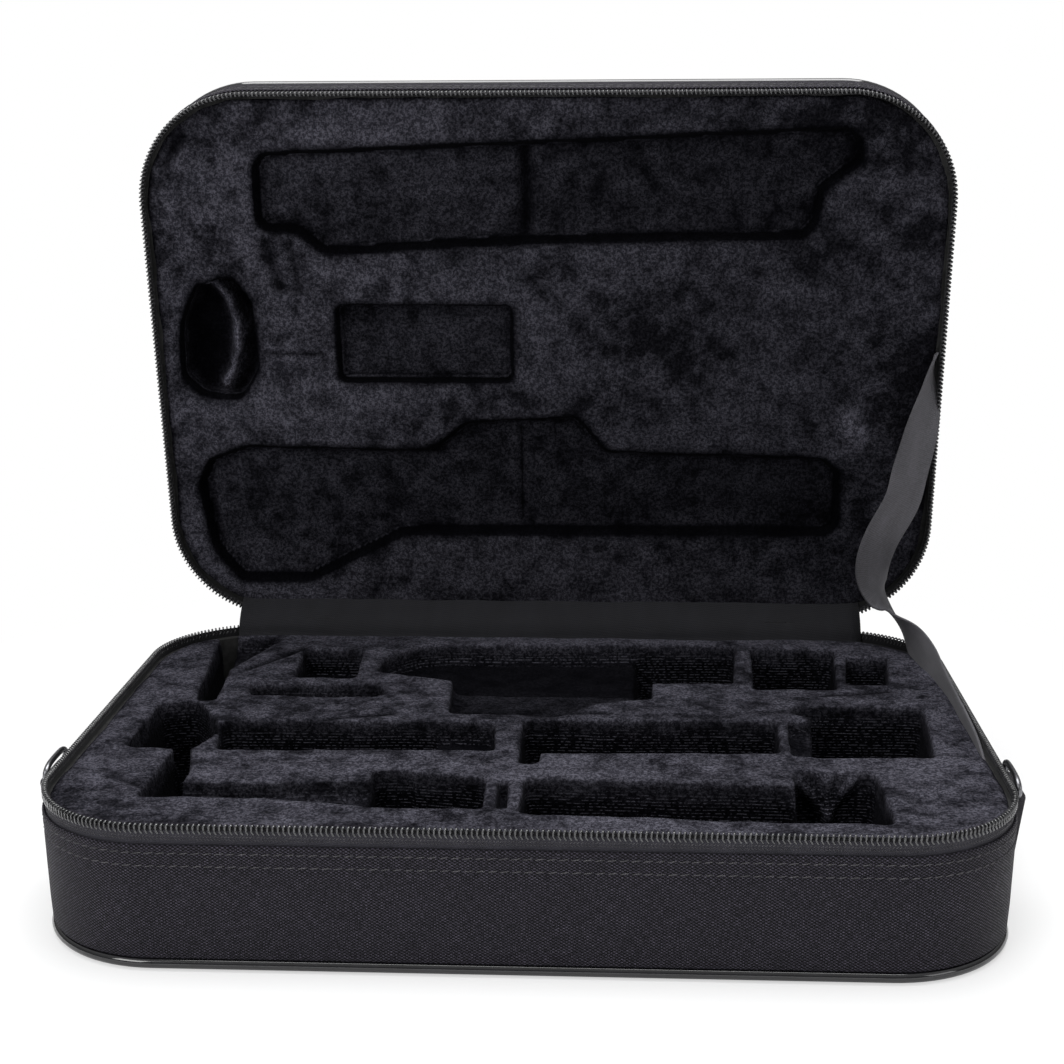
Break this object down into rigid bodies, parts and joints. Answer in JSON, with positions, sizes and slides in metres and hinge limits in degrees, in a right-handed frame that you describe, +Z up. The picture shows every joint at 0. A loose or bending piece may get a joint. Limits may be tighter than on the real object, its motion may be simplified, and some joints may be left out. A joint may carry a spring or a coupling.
{
  "type": "oboe case",
  "caption": "Open zip-round instrument case with a moulded plush lining, hinged lid, slack stay strap, coil zip and side D-rings.",
  "frame": {"origin": "centre of the base's flat bottom face", "axes": "+Z up, +X to the right along the hinge, +Y to the rear where the lid is hinged"},
  "size_m": [0.3668, 0.2811, 0.3065],
  "materials": {
    "board": "matt board",
    "nylon": "heavy woven nylon",
    "piping": "glossy cord edge",
    "tape": "woven zip tape",
    "coil": "nylon coil",
    "foam": "foam sheet",
    "plush": "short bluish black plush",
    "strip": "smooth velour strip",
    "webbing": "flat grey webbing",
    "nickel": "nickelled wire",
    "slider_metal": "black enamel"
  },
  "bodies": {
    "base": {"base_shell": "board", "base_side_band": "nylon", "base_bottom_panel": "nylon", "base_piping": "piping", "base_zip_tape": "tape", "base_zip_coil": "coil", "base_foam": "foam", "base_lining": "plush", "ring_tab_left": "nylon", "ring_tab_right": "nylon", "hinge_strip": "strip", "hinge_panel": "nylon", "lid_stay_strap": "webbing"},
    "lid": {"lid_shell": "board", "lid_side_band": "nylon", "lid_top_panel": "nylon", "lid_piping": "piping", "lid_zip_tape": "tape", "lid_zip_coil": "coil", "lid_foam": "foam", "lid_lining": "plush"},
    "ring_left": {"d_ring_left": "nickel"},
    "ring_right": {"d_ring_right": "nickel"},
    "slider_left": {"zip_slider_left": "slider_metal"},
    "slider_right": {"zip_slider_right": "slider_metal"},
    "pull_left": {"zip_pull_left": "slider_metal"},
    "pull_right": {"zip_pull_right": "slider_metal"}
  },
  "joints": [
    {"name": "lid_hinge", "type": "hinge", "parent": "base", "child": "lid", "pos_m": [0, 0.126, 0.0552], "axis": [1, 0, 0], "range_deg": [-34.6, 80.4], "deforming": ["hinge_strip", "hinge_panel", "lid_stay_strap"]},
    {"name": "d_ring_left_swing", "type": "hinge", "parent": "base", "child": "ring_left", "pos_m": [-0.18058, -0.058, 0.0472], "axis": [0, -1, 0], "range_deg": [0, 150]},
    {"name": "d_ring_right_swing", "type": "hinge", "parent": "base", "child": "ring_right", "pos_m": [0.18058, -0.058, 0.0472], "axis": [0, 1, 0], "range_deg": [0, 150]},
    {"name": "zip_slider_left_run", "type": "slide", "parent": "base", "child": "slider_left", "axis": [-1, 0, 0], "range_m": [0, 0.012]},
    {"name": "zip_slider_right_run", "type": "slide", "parent": "base", "child": "slider_right", "axis": [1, 0, 0], "range_m": [0, 0.012]},
    {"name": "zip_pull_left_swing", "type": "hinge", "parent": "slider_left", "child": "pull_left", "pos_m": [-0.1081, 0.1269, 0.0518], "axis": [0, 0, 1], "range_deg": [0, 175]},
    {"name": "zip_pull_right_swing", "type": "hinge", "parent": "slider_right", "child": "pull_right", "pos_m": [0.1081, 0.1269, 0.0518], "axis": [0, 0, -1], "range_deg": [0, 175]}
  ]
}
